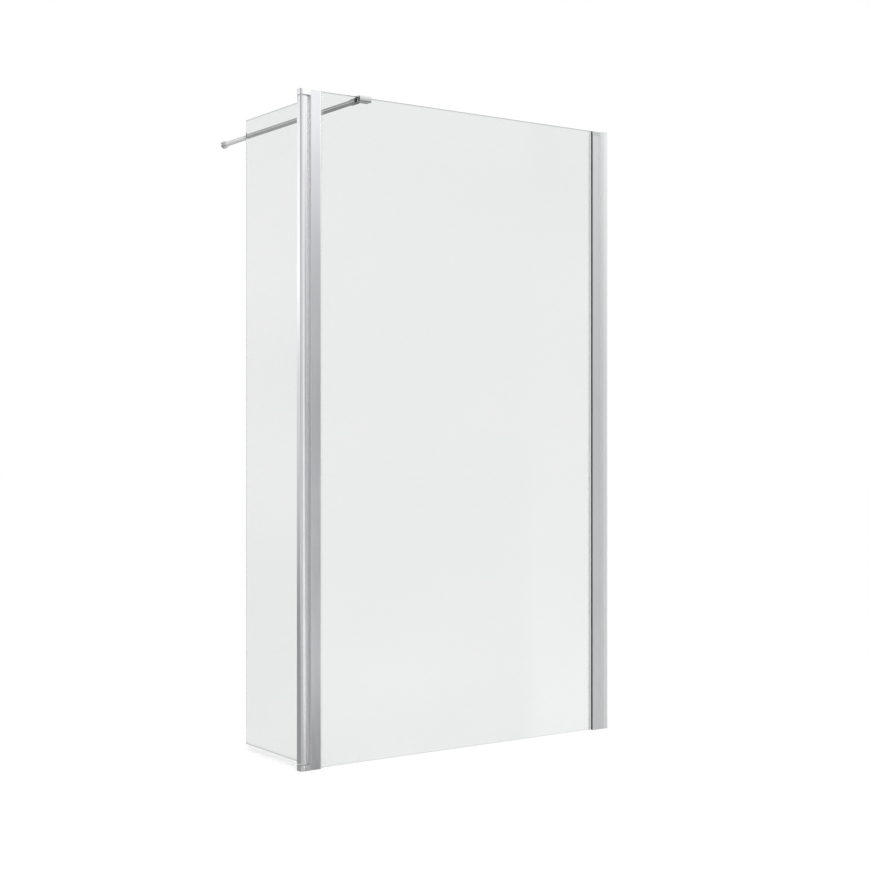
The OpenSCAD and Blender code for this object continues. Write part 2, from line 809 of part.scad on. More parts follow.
// Clear strip between the return pane and its profile
module return_gasket() color(clear_strip) {
    face = glass_t / 2 + press_gap;
    upright(return_bottom, return_top) {
        flat_box([face, return_y0 + 1], [slot_hw, cheek_d]);
        flat_box([slot_hw - bead_root, cheek_d - cheek_bead - bead_w / 2 + slide_gap],
                 [slot_hw + bead_d - slide_gap, cheek_d - cheek_bead + bead_w / 2 - slide_gap]);
        polygon([
            [face, cheek_d - cut], [slot_hw, cheek_d - cut], [slot_hw, cheek_d],
            [face + 0.6, cheek_d + 2], [face, cheek_d + 2]
        ]);
    }
}

module return_gasket_outer() {
    mirror([1, 0, 0]) return_gasket();
}

module return_gasket_inner() {
    return_gasket();
}

// Clear seal clipped on the bottom edge of the return pane: legs, a hollow body and two wiping fins
module bottom_seal() color(clear_strip) {
    leg = glass_t / 2 + seal_t;
    floor_z = return_bottom - seal_body_h;
    fin = [
        [leg - seal_t + 0.1, floor_z + 0.9], [leg + seal_fin_out - seal_t, seal_gap],
        [leg + seal_fin_out, seal_gap], [leg - 0.1, floor_z + 0.9]
    ];
    translate([0, seal_y0, 0]) rotate([90, 0, 180]) linear_extrude(seal_y1 - seal_y0) {
        difference() {
            round_box([-leg, floor_z], [leg, return_bottom + seal_grip], 0.5);
            flat_box([-glass_t / 2 - press_gap, return_bottom],
                     [glass_t / 2 + press_gap, return_bottom + seal_grip + cut]);
            flat_box([-leg + seal_t, floor_z + seal_t], [leg - seal_t, return_bottom - seal_t]);
        }
        polygon(fin);
        polygon([for (i = [3:-1:0]) [-fin[i][0], fin[i][1]]]);
    }
}

wall_channel();
wall_channel_cap();
glazing_profile();
glazing_cap_top();
glazing_cap_bottom();
wall_gasket_front();
wall_gasket_back();
lock_screws();
lock_washers();
main_glass();
post_profile();
post_gasket_front();
post_gasket_back();
post_seal();
top_pivot_lug();
bottom_pivot_lug();
lug_screws();
top_pivot_pin();
bottom_pivot_pin();
thrust_washer();
bar_clamp();
clamp_liner();
clamp_screws();
stabiliser_bar();
bar_wall_socket();
bar_wall_plate();
bar_grub_screws();
return_profile();
top_pivot_block();
bottom_pivot_block();
top_bush();
bottom_bush();
pivot_block_screws();
return_glass();
return_gasket_outer();
return_gasket_inner();
bottom_seal();
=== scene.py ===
"""Looks of a walk-in shower screen: bright profiles, clear panes, chromed fittings and a round brace bar.

Everything is in metres in the part's own frame. The hinge axis stands at the origin, +X runs along the
fixed pane to the wall, +Y is the shower side and the floor is at Z 0.
"""
import json
import math

import bmesh
import bpy
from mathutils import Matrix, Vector


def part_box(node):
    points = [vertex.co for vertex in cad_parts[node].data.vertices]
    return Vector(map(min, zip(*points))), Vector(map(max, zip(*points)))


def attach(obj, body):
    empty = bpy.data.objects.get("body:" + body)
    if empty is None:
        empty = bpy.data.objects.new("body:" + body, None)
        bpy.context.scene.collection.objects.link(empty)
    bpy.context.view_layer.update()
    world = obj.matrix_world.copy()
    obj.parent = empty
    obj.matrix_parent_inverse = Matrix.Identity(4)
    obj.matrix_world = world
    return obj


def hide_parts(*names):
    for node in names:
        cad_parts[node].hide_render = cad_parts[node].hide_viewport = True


MM = 0.001

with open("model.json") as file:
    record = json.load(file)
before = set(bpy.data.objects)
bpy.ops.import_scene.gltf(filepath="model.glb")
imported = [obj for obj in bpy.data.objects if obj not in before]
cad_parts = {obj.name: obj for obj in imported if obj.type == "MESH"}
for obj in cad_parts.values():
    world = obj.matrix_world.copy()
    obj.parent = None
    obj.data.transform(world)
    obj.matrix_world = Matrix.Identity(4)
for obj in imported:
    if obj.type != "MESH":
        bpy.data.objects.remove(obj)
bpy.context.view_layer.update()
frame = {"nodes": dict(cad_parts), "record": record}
nodes = frame["nodes"]
bodies = {node: body for body, members in frame["record"]["behaviour"]["bodies"].items() for node in members}

# Places that the finishes are measured from: along X, and the foot of the return pane along Z
post_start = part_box("post_profile")[0][0]
post_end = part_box("post_profile")[1][0]
channel_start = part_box("wall_channel")[0][0]
glazing_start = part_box("glazing_profile")[0][0]
return_pane_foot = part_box("return_glass")[0][2]
liner_low, liner_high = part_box("clamp_liner")

# The photograph's view: where the camera stands, how far it is turned from straight along +Y, its lens and
# its sensor in millimetres, and how far it sees
CAMERA_AT = (-2.2282, -3.8547, 0.9603)
CAMERA_TURN = math.radians(34.915)
CAMERA_LENS = 64.12
CAMERA_SENSOR = 36.0
CAMERA_REACH = 100.0

# Scale, detail and roughness of the noise that makes each pattern
DIE_LINES = (1400.0, 3.0, 0.6)
FACE_WAVES = (55.0, 1.0, 0.4)
WIPE_MARKS = (24.0, 4.0, 0.6)
DRIED_HAZE = (7.0, 2.0, 0.5)
PLATING_PEEL = (420.0, 2.0, 0.5)
TURNING_MARKS = (900.0, 3.0, 0.6)
SPARK_GRAIN = (1100.0, 2.0, 0.6)
MOULD_CLOUD = (60.0, 2.0, 0.5)
GLASS_CLOUD = (1.6, 2.0, 0.5)

# Scale of some patterns along each axis. Under 1 along Z draws them out along the piece.
DIE_LINES_DRAWN = (1.0, 1.0, 0.004)
FACE_WAVES_DRAWN = (1.0, 1.0, 0.12)
WIPE_MARKS_DRAWN = (1.0, 1.0, 0.3)
TURNING_MARKS_PACKED = (1.0, 1.0, 6.0)

# Parts of a noise that are stretched over a whole range, and how strong the marks are in little haze
NOISE_MIDDLE = (0.3, 0.7)
WIPED_PART = (0.4, 0.75)
CLOUD_PART = (0.35, 0.65)
LEAST_HAZE = 0.3

# Relief of each surface: strength of its bump, and its depth
DRAWN_BUMP = (0.25, 0.12 * MM)
PLATING_BUMP = (0.12, 0.1 * MM)
TURNED_BUMP = (0.2, 0.08 * MM)
STRIP_BUMP = (0.3, 0.12 * MM)
SEAL_BUMP = (0.2, 0.12 * MM)
MOULDED_BUMP = (0.25, 0.12 * MM)

# Handling marks: share of the tone that is kept under them, and how much rougher they are
ANODISED_KEPT = 0.94
ANODISED_ROUGHER = 0.06
CHROME_KEPT = 0.93
CHROME_ROUGHER = 0.10
# How much rougher the coarse parts of the draw lines and of a grain are, and the darkest of turned steel
LINES_ROUGHER = 0.05
GRAIN_ROUGHER = 0.12
TURNED_KEPT = 0.8

# Distance from the plane at Y 0 from which a joint is all mouth, and within which it is all inside
JOINT_OUTER = 11.0 * MM
JOINT_INNER = 8.0 * MM
# Heights between which the satin sides of a joint get lighter as painted light, and the share of their tone
# at each
JOINT_PAINTED_LIFT = (1.0, 1.85, 1.0, 1.2)
# Those sides: how metallic they stay, how much rougher they are, and their painted light inside the joint
SATIN_METALLIC = 0.35
SATIN_ROUGHER = 0.4
JOINT_INSIDE_PAINTED_LIGHT = (0.87, 0.88, 0.89, 1.0)

# End of the bar by the side wall, with a painted reflection of that wall: where along Y it turns lighter,
# its tone and how metallic it stays
BAR_END = (0.67, 0.71)
BAR_END_PAINTED_REFLECTION = (0.80, 0.80, 0.81, 1.0)
BAR_END_METALLIC = 0.45

# The clamp's saddle, painted darker at its foot as shade, gets lighter from this far above its liner's foot
# to this far above the liner's top
CLAMP_ABOVE_LINER = 1.0 * MM
# How far the clamp's end faces stand past its liner
CLAMP_PAST_LINER = 0.5 * MM
# Depths behind an end face between which its painted shade sets in, depths below the lightest height between
# which that painted shade stops, and places along Y between which the saddle passes into the socket
CLAMP_END_DEPTH = (1.0 * MM, 0.6 * MM)
CLAMP_TOP_DEPTH = (2.2 * MM, 1.4 * MM)
CLAMP_BACK = (13.5 * MM, 14.5 * MM)
# Tones of the clamp: foot and top of the saddle, its end faces and the socket. The dark foot and end faces
# are painted shade
CLAMP_FOOT_PAINTED_SHADE = 0.34
CLAMP_HIGH = 0.80
CLAMP_END_PAINTED_SHADE = 0.10
CLAMP_SOCKET = 0.48

# Tones of the glass: two over the face, one for the painted dark line along the top and the bottom, one for
# the painted glow of the cut faces, and one for its shadow
PANE_FACE_A = (0.862, 0.874, 0.866, 1.0)
PANE_FACE_B = (0.848, 0.862, 0.855, 1.0)
PANE_PAINTED_EDGE_LINE = (0.40, 0.43, 0.42, 1.0)
CUT_PAINTED_GLOW = (0.060, 0.100, 0.088, 1.0)
GLASS_SHADOW = (0.96, 0.967, 0.965, 1.0)
GLASS_IOR = 1.5
# Width of that line, and the depth within which a point lies on a cut face
PANE_BAND = 3.5 * MM
CUT_DEPTH = 0.05 * MM
# Half a width that keeps a side from counting as a border, and the width under which a side is the thin one
PANE_CLEAR = 5.0
PANE_THIN = 20.0 * MM
# Share of the tone over the lower and the upper part of each pane, darker above as painted shade, and
# between which heights it changes
MAIN_SHADES = (0.982, 0.952, 1.45, 1.85)
RETURN_SHADES = (0.980, 0.930, 0.70, 1.35)

# Clear PVC of the strips
PVC_DARK = (0.90, 0.91, 0.92, 1.0)
PVC_LIGHT = (0.96, 0.97, 0.97, 1.0)
PVC_SHADOW = (0.93, 0.935, 0.935, 1.0)
PVC_ROUGH = (0.22, 0.34)
PVC_CLEARNESS = 0.45
# Clearer PVC of the bottom seal
SEAL_DARK = (0.93, 0.935, 0.94, 1.0)
SEAL_LIGHT = (0.98, 0.98, 0.98, 1.0)
SEAL_SHADOW = (0.96, 0.965, 0.965, 1.0)
SEAL_ROUGH = 0.1
SEAL_IOR = 1.3
SEAL_CLEARNESS = 0.9
# How solid the body of the bottom seal looks, and its legs above the pane's foot, and the height under that
# foot over which it changes
SEAL_ALPHA = (0.11, 0.02)
SEAL_CHANGE = 0.2 * MM

# Wall strip: how far its core stands out of the profile, where the back strip turns dark inside the
# profile, and half the width over which its rubbers meet
STRIP_CORE = 3.5 * MM
STRIP_HIDDEN = 0.5 * MM
STRIP_MEET = 0.1 * MM
# Distance from the pane's middle at which it turns dark, and the depth of that change
DARK_FROM = 6.6 * MM
DARK_CHANGE = 0.4 * MM
# How solid its clear fin looks, the tones of its dark rubber, and the roughness of its pale and dark parts
FIN_ALPHA = 0.12
RUBBER_DARK = (0.045, 0.046, 0.05, 1.0)
RUBBER_LIGHT = (0.085, 0.086, 0.09, 1.0)
STRIP_ROUGH = (0.25, 0.55)

# Broken edges: steps of the round, and the least angle of an edge that gets one
ROUND_STEPS = 2
SHARP_FROM = math.radians(32.0)
# Distance within which points are merged, the angle within which faces count as one flat face, and how
# much the large faces rule the shading
MERGE_WITHIN = 0.002 * MM
FLAT_WITHIN = math.radians(0.5)
FLAT_WEIGHT = 100

# The floor: its place, radius and corners, its grey for the light that it throws back, and the grey and the
# glow that are seen of it
FLOOR_AT = (0.5, 0.4, -0.3 * MM)
FLOOR_RADIUS = 30.0
FLOOR_CORNERS = 96
FLOOR_LIT = 0.8
FLOOR_SEEN = 0.30
FLOOR_GLOW = 0.70

# The soft lamp: its place, what it points at, its side and its power
LAMP_AT = (-2.5, -3.0, 3.2)
LAMP_TOWARDS = (0.5, 0.2, 0.9)
LAMP_SIDE = 2.5
LAMP_WATTS = 60.0

# Tones of the surroundings by the height of the direction, from straight down to straight up
RIGHT_SIDE = ((-1.0, 0.60), (-0.30, 0.25), (-0.21, 0.27), (-0.195, 0.30), (-0.155, 0.57), (-0.10, 0.46),
              (0.03, 0.45), (0.12, 0.60), (0.20, 1.06), (0.245, 1.20), (0.50, 1.10), (1.0, 1.0))
WALL_SIDE = ((-1.0, 0.60), (-0.25, 0.90), (-0.19, 1.35), (-0.15, 1.25), (-0.08, 0.75), (0.03, 0.48),
             (0.11, 0.60), (0.215, 0.82), (0.50, 1.0), (1.0, 1.0))
BACK_LEFT = ((-1.0, 0.50), (-0.25, 0.30), (-0.185, 0.335), (-0.11, 0.335), (-0.05, 0.58), (0.04, 0.80),
             (0.10, 1.15), (0.16, 1.05), (0.214, 0.98), (0.226, 0.50), (0.35, 0.40), (1.0, 0.70))
CORNER_SIDE = ((-1.0, 0.60), (-0.19, 0.56), (-0.08, 0.62), (0.03, 0.70), (0.11, 0.76), (0.24, 0.74),
               (1.0, 1.0))
SOFT_BOX = ((-1.0, 0.60), (-0.25, 0.45), (-0.212, 0.68), (-0.195, 0.98), (-0.156, 1.22), (-0.10, 1.22),
            (0.03, 0.97), (0.11, 0.85), (0.20, 1.0), (1.0, 1.0))
CAMERA_SIDE = ((-1.0, 0.50), (-0.20, 0.30), (-0.156, 0.40), (-0.08, 0.82), (0.03, 0.48), (0.11, 0.28),
               (0.18, 0.24), (0.24, 0.25), (0.50, 0.70), (1.0, 0.90))
# The sides, each laid over those before it, and all of them over the right side's tones. With its tones each
# has the degrees that it is turned from -Y towards +X, the degrees within which it is whole, those past
# which it ends, and how far it leans, in radians of turn for each unit of height.
STUDIO_SIDES = (
    (BACK_LEFT, -150.0, 25.0, 60.0, 0.0),
    (CAMERA_SIDE, -50.0, 45.0, 62.0, 0.0),
    (WALL_SIDE, 42.5, 3.0, 6.0, 0.0),
    (CORNER_SIDE, 15.0, 5.0, 9.0, 0.0),
    (SOFT_BOX, 27.0, 2.2, 4.6, 0.15),
    (RIGHT_SIDE, 33.8, 4.2, 5.0, 0.0),
)

FLOAT = "NodeSocketFloat"
VECTOR = "NodeSocketVector"
COLOUR = "NodeSocketColor"


# Building node trees

def grey(value):
    return (value, value, value, 1.0)


def tinted(tone, share=1.0):
    """A tone of three numbers, or a share of it, as a colour."""
    return tuple(part * share for part in tone) + (1.0,)


class Shading:
    """Short names for building one node tree."""

    def __init__(self, tree):
        self.tree = tree

    def add(self, kind, **values):
        node = self.tree.nodes.new(kind)
        for name, value in values.items():
            setattr(node, name, value)
        return node

    def link(self, source, target):
        self.tree.links.new(source, target)

    def feed(self, socket, value):
        """Links an output to the socket or writes a plain value on it."""
        if isinstance(value, bpy.types.NodeSocket):
            self.link(value, socket)
        else:
            socket.default_value = value

    def math(self, operation, *values, clamp=False):
        node = self.add("ShaderNodeMath", operation=operation, use_clamp=clamp)
        for socket, value in zip(node.inputs, values):
            self.feed(socket, value)
        return node.outputs[0]

    def vector_math(self, operation, *values):
        node = self.add("ShaderNodeVectorMath", operation=operation)
        for socket, value in zip(node.inputs, values):
            self.feed(socket, value)
        return node.outputs[0]

    def scaled(self, colour, factor):
        """A colour times a number."""
        node = self.add("ShaderNodeVectorMath", operation="SCALE")
        self.feed(node.inputs[0], colour)
        self.feed(node.inputs["Scale"], factor)
        return node.outputs[0]

    def mix(self, factor, a, b):
        node = self.add("ShaderNodeMix", data_type="RGBA")
        self.feed(node.inputs[0], factor)
        self.feed(node.inputs[6], a)
        self.feed(node.inputs[7], b)
        return node.outputs[2]

    def span(self, value, from_low, from_high, to_low=0.0, to_high=1.0, smooth=False):
        node = self.add("ShaderNodeMapRange")
        if smooth:
            node.interpolation_type = "SMOOTHSTEP"
        for socket, given in zip(node.inputs, (value, from_low, from_high, to_low, to_high)):
            self.feed(socket, given)
        return node.outputs[0]

    def noise(self, vector, pattern):
        node = self.add("ShaderNodeTexNoise")
        self.link(vector, node.inputs["Vector"])
        for name, value in zip(("Scale", "Detail", "Roughness"), pattern):
            node.inputs[name].default_value = value
        return node.outputs[0]

    def stretch(self, vector, scale=(1.0, 1.0, 1.0), turn=(0.0, 0.0, 0.0)):
        node = self.add("ShaderNodeMapping")
        self.link(vector, node.inputs["Vector"])
        node.inputs["Scale"].default_value = scale
        node.inputs["Rotation"].default_value = turn
        return node.outputs[0]

    def split(self, vector):
        node = self.add("ShaderNodeSeparateXYZ")
        self.link(vector, node.inputs[0])
        return node.outputs

    def place(self):
        return self.add("ShaderNodeTexCoord").outputs["Object"]

    def use(self, tree, **values):
        """Places a node group and feeds its sockets by name."""
        node = self.add("ShaderNodeGroup", node_tree=tree)
        for name, value in values.items():
            self.feed(node.inputs[name], value)
        return node.outputs

    def bump(self, shader, height, relief):
        node = self.add("ShaderNodeBump")
        node.inputs["Strength"].default_value, node.inputs["Distance"].default_value = relief
        self.link(height, node.inputs["Height"])
        self.link(node.outputs[0], shader.inputs["Normal"])


def group(name, inputs, outputs):
    """A shader node group with named sockets, and its input and output nodes."""
    tree = bpy.data.node_groups.new(name, "ShaderNodeTree")
    for label, kind in inputs:
        tree.interface.new_socket(label, in_out="INPUT", socket_type=kind)
    for label, kind in outputs:
        tree.interface.new_socket(label, in_out="OUTPUT", socket_type=kind)
    shading = Shading(tree)
    return shading, shading.add("NodeGroupInput").outputs, shading.add("NodeGroupOutput").inputs


def material(name):
    """A new material, its node tree and its main shader."""
    made = bpy.data.materials.new(name)
    made.use_nodes = True
    shading = Shading(made.node_tree)
    return made, shading, made.node_tree.nodes["Principled BSDF"]


# Effects that several finishes share

def make_drawn_lines():
    """Fine lines that the die leaves along an extrusion, and the gentle waves of its faces."""
    shading, given, made = group(
        "drawn_lines",
        [("Place", VECTOR), ("Fine", FLOAT), ("Waves", FLOAT)],
        [("Lines", FLOAT), ("Height", FLOAT)])
    lines = shading.noise(shading.stretch(given["Place"], DIE_LINES_DRAWN), DIE_LINES)
    waves = shading.noise(shading.stretch(given["Place"], FACE_WAVES_DRAWN), FACE_WAVES)
    fine = shading.math("MULTIPLY", lines, given["Fine"])
    wide = shading.math("MULTIPLY", waves, given["Waves"])
    shading.link(lines, made["Lines"])
    shading.link(shading.math("ADD", fine, wide), made["Height"])
    return shading.tree


def make_handling_marks():
    """Faint wipe marks in dried haze, which leave a bright surface darker and less sharp."""
    shading, given, made = group(
        "handling_marks",
        [("Place", VECTOR), ("Tone", COLOUR), ("Kept", FLOAT), ("Rough", FLOAT), ("Rougher", FLOAT)],
        [("Colour", COLOUR), ("Roughness", FLOAT)])
    wiped = shading.noise(shading.stretch(given["Place"], WIPE_MARKS_DRAWN), WIPE_MARKS)
    haze = shading.span(shading.noise(given["Place"], DRIED_HAZE), *NOISE_MIDDLE, LEAST_HAZE, 1.0)
    marks = shading.math("MULTIPLY", shading.span(wiped, *WIPED_PART), haze)
    worn = shading.scaled(given["Tone"], given["Kept"])
    shading.link(shading.mix(marks, given["Tone"], worn), made["Colour"])
    shading.link(shading.math("MULTIPLY_ADD", marks, given["Rougher"], given["Rough"]), made["Roughness"])
    return shading.tree


def make_plating_peel():
    """The faint orange peel of chrome plate."""
    shading, given, made = group("plating_peel", [("Place", VECTOR)], [("Height", FLOAT)])
    shading.link(shading.noise(given["Place"], PLATING_PEEL), made["Height"])
    return shading.tree


def make_painted_highlight_band():
    """A painted highlight: a tone of which one share is kept before a place along X and another after a
    second.
    """
    shading, given, made = group(
        "painted_highlight_band",
        [("Place", VECTOR), ("From", FLOAT), ("To", FLOAT), ("Before", FLOAT), ("After", FLOAT),
         ("Tone", COLOUR)],
        [("Colour", COLOUR)])
    across = shading.split(given["Place"])[0]
    # Painted highlight: the tone is brighter after the second place
    share = shading.span(across, given["From"], given["To"], given["Before"], given["After"], smooth=True)
    shading.link(shading.scaled(given["Tone"], share), made["Colour"])
    return shading.tree


def make_joint_satin_and_painted_shade():
    """The satin side of a profile towards a joint, with painted shade and light, over the looks of the rest.

    It starts at one place along X and is whole at another. Its mouth has a painted tone of its own, and the
    side is painted lighter deeper inside the joint and higher up.
    """
    shading, given, made = group(
        "joint_satin_and_painted_shade",
        [("Place", VECTOR), ("From", FLOAT), ("To", FLOAT), ("Mouth", COLOUR), ("Tone", COLOUR),
         ("Rough", FLOAT)],
        [("Colour", COLOUR), ("Metallic", FLOAT), ("Roughness", FLOAT)])
    across, inward, up = shading.split(given["Place"])
    side = shading.span(across, given["From"], given["To"], smooth=True)
    deep = shading.span(shading.math("ABSOLUTE", inward), JOINT_OUTER, JOINT_INNER, smooth=True)
    # Painted shade and light: the mouth's grey, lighter deep in the joint, lighter still higher up
    satin = shading.scaled(shading.mix(deep, given["Mouth"], JOINT_INSIDE_PAINTED_LIGHT), shading.span(up, *JOINT_PAINTED_LIFT))
    shading.link(shading.mix(side, given["Tone"], satin), made["Colour"])
    shading.link(shading.math("MULTIPLY_ADD", side, SATIN_METALLIC - 1.0, 1.0), made["Metallic"])
    shading.link(shading.math("MULTIPLY_ADD", side, SATIN_ROUGHER, given["Rough"]), made["Roughness"])
    return shading.tree


def make_pane_edge():
    """1 at the border of a pane, falling to 0 over the band, and a share of that on its lower half."""
    shading, given, made = group(
        "pane_edge",
        [("Place", VECTOR), ("Middle", VECTOR), ("Half", VECTOR), ("Band", FLOAT), ("Lower", FLOAT)],
        [("Edge", FLOAT)])
    off = shading.vector_math("SUBTRACT", given["Place"], given["Middle"])
    inside = shading.vector_math("SUBTRACT", given["Half"], shading.vector_math("ABSOLUTE", off))
    across, through, up = shading.split(inside)
    near = shading.math("MINIMUM", shading.math("MINIMUM", across, through), up)
    edge = shading.math("SUBTRACT", 1.0, shading.math("DIVIDE", near, given["Band"], clamp=True))
    share = shading.span(shading.split(off)[2], -MM, MM, given["Lower"], 1.0)
    shading.link(shading.math("MULTIPLY", edge, share), made["Edge"])
    return shading.tree


def make_pane_face():
    """Faintly clouded tone over a pane's face, painted in shade to one share below and another above."""
    shading, given, made = group(
        "pane_face",
        [("Place", VECTOR), ("Below", FLOAT), ("Above", FLOAT), ("Start", FLOAT), ("End", FLOAT)],
        [("Colour", COLOUR)])
    cloud = shading.span(shading.noise(given["Place"], GLASS_CLOUD), *CLOUD_PART)
    up = shading.split(given["Place"])[2]
    kept = shading.span(up, given["Start"], given["End"], given["Below"], given["Above"], smooth=True)
    shading.link(shading.scaled(shading.mix(cloud, PANE_FACE_A, PANE_FACE_B), kept), made["Colour"])
    return shading.tree


def make_strip_parts():
    """Masks of the wall strip's rubbers: Solid is 0 on the clear fin, Dark is 1 on the dark outer face."""
    shading, given, made = group(
        "strip_parts",
        [("Place", VECTOR), ("Core", FLOAT), ("Outer", FLOAT)],
        [("Solid", FLOAT), ("Dark", FLOAT)])
    across, outward, _ = shading.split(given["Place"])

    def past(start):
        before = shading.math("SUBTRACT", given[start], STRIP_MEET)
        return shading.span(across, before, shading.math("ADD", given[start], STRIP_MEET))

    outer = shading.span(shading.math("ABSOLUTE", outward), DARK_FROM, DARK_FROM + DARK_CHANGE)
    shading.link(past("Core"), made["Solid"])
    shading.link(shading.math("MULTIPLY", past("Outer"), outer), made["Dark"])
    return shading.tree


def make_moulded_grain():
    """The spark-eroded grain of a moulding and the slow change of its tone."""
    shading, given, made = group("moulded_grain", [("Place", VECTOR)], [("Grain", FLOAT), ("Cloud", FLOAT)])
    shading.link(shading.noise(given["Place"], SPARK_GRAIN), made["Grain"])
    shading.link(shading.noise(given["Place"], MOULD_CLOUD), made["Cloud"])
    return shading.tree


drawn_lines = make_drawn_lines()
handling_marks = make_handling_marks()
plating_peel = make_plating_peel()
painted_highlight_band = make_painted_highlight_band()
joint_satin_and_painted_shade = make_joint_satin_and_painted_shade()
pane_edge = make_pane_edge()
pane_face = make_pane_face()
strip_parts = make_strip_parts()
moulded_grain = make_moulded_grain()


# Finishes

def make_extrusion(name, tone, rough, waves, band=None, joint=None, mouth=None):
    """Bright anodised aluminium, drawn along Z.

    A band is two places along X with the share of the tone before the first and after the second, a painted
    highlight. A joint is the places along X where the profile's satin side starts and where it is whole, and
    mouth its grey at the mouth of the joint; that side's tones are painted shade and light.
    """
    made, shading, shader = material(name)
    place = shading.place()
    drawn = shading.use(drawn_lines, Place=place, Fine=0.12, Waves=waves)
    streaks = shading.span(drawn["Lines"], *NOISE_MIDDLE, rough, rough + LINES_ROUGHER)
    surface = shading.use(handling_marks, Place=place, Tone=tinted(tone), Kept=ANODISED_KEPT,
                          Rough=streaks, Rougher=ANODISED_ROUGHER)
    colour = surface["Colour"]
    roughness = surface["Roughness"]
    shader.inputs["Metallic"].default_value = 1.0
    if band:
        start, end, before, after = band
        colour = shading.use(painted_highlight_band, Place=place, From=start, To=end, Before=before, After=after,
                             Tone=colour)["Colour"]
    if joint:
        side = shading.use(joint_satin_and_painted_shade, Place=place, From=joint[0], To=joint[1], Mouth=grey(mouth),
                           Tone=colour, Rough=roughness)
        colour = side["Colour"]
        roughness = side["Roughness"]
        shading.link(side["Metallic"], shader.inputs["Metallic"])
    shading.link(colour, shader.inputs["Base Color"])
    shading.link(roughness, shader.inputs["Roughness"])
    shading.bump(shader, drawn["Height"], DRAWN_BUMP)
    return made


def start_chrome(name, tone, rough):
    """What all chromed finishes share, and the worn tone that each of them goes on from."""
    made, shading, shader = material(name)
    place = shading.place()
    surface = shading.use(handling_marks, Place=place, Tone=tinted(tone), Kept=CHROME_KEPT,
                          Rough=rough, Rougher=CHROME_ROUGHER)
    shading.link(surface["Roughness"], shader.inputs["Roughness"])
    shader.inputs["Metallic"].default_value = 1.0
    shading.bump(shader, shading.use(plating_peel, Place=place)["Height"], PLATING_BUMP)
    return made, shading, shader, surface["Colour"]


def make_chrome(name, tone, rough):
    """Chrome plate over a casting."""
    made, shading, shader, colour = start_chrome(name, tone, rough)
    shading.link(colour, shader.inputs["Base Color"])
    return made


def make_bar_tube(name, tone, rough):
    """Chromed tube whose end by the side wall is painted lighter as a reflection of that bright wall."""
    made, shading, shader, colour = start_chrome(name, tone, rough)
    # Painted reflection: lighter and less metallic towards the side wall
    painted_wall_reflection = shading.span(shading.split(shading.place())[1], *BAR_END, smooth=True)
    shading.link(shading.mix(painted_wall_reflection, colour, BAR_END_PAINTED_REFLECTION), shader.inputs["Base Color"])
    shading.link(shading.span(painted_wall_reflection, 0.0, 1.0, 1.0, BAR_END_METALLIC), shader.inputs["Metallic"])
    return made


def make_clamp_chrome(name, rough, low, high, left, right):
    """Chromed saddle, lighter between two heights, with dark end faces and a darker socket behind it. The
    dark foot and end faces are painted shade.

    Left and right are its end faces along X.
    """
    made, shading, shader, colour = start_chrome(name, (1.0, 1.0, 1.0), rough)
    across, back, up = shading.split(shading.place())
    # Painted shade: darker towards the saddle's foot, and on its end faces below the top
    colour = shading.scaled(colour, shading.span(up, low, high, CLAMP_FOOT_PAINTED_SHADE, CLAMP_HIGH))
    off = shading.math("ABSOLUTE", shading.math("SUBTRACT", across, (left + right) / 2))
    half = (right - left) / 2
    at_end = shading.span(off, half - CLAMP_END_DEPTH[0], half - CLAMP_END_DEPTH[1])
    below_top = shading.span(up, high - CLAMP_TOP_DEPTH[0], high - CLAMP_TOP_DEPTH[1], 1.0, 0.0)
    colour = shading.mix(shading.math("MULTIPLY", at_end, below_top), colour, grey(CLAMP_END_PAINTED_SHADE))
    colour = shading.mix(shading.span(back, *CLAMP_BACK), colour, grey(CLAMP_SOCKET))
    shading.link(colour, shader.inputs["Base Color"])
    return made


def make_turned_steel(name, tone, rough):
    """Stainless steel of screws, pins and the wall plate, with turning marks."""
    made, shading, shader = material(name)
    grain = shading.noise(shading.stretch(shading.place(), TURNING_MARKS_PACKED), TURNING_MARKS)
    roughness = shading.span(grain, *NOISE_MIDDLE, rough, rough + GRAIN_ROUGHER)
    shading.link(shading.mix(grain, tinted(tone), tinted(tone, TURNED_KEPT)), shader.inputs["Base Color"])
    shading.link(roughness, shader.inputs["Roughness"])
    shader.inputs["Metallic"].default_value = 1.0
    shading.bump(shader, grain, TURNED_BUMP)
    return made


def let_light_through(shading, shader, tint):
    """Shadow and diffuse rays pass straight through, so a clear piece hardly darkens what is behind it."""
    clear = shading.add("ShaderNodeBsdfTransparent")
    clear.inputs[0].default_value = tint
    path = shading.add("ShaderNodeLightPath")
    either = shading.math("MAXIMUM", path.outputs["Is Shadow Ray"], path.outputs["Is Diffuse Ray"])
    blend = shading.add("ShaderNodeMixShader")
    shading.link(either, blend.inputs[0])
    shading.link(shader.outputs[0], blend.inputs[1])
    shading.link(clear.outputs[0], blend.inputs[2])
    shading.link(blend.outputs[0], shading.tree.nodes["Material Output"].inputs["Surface"])


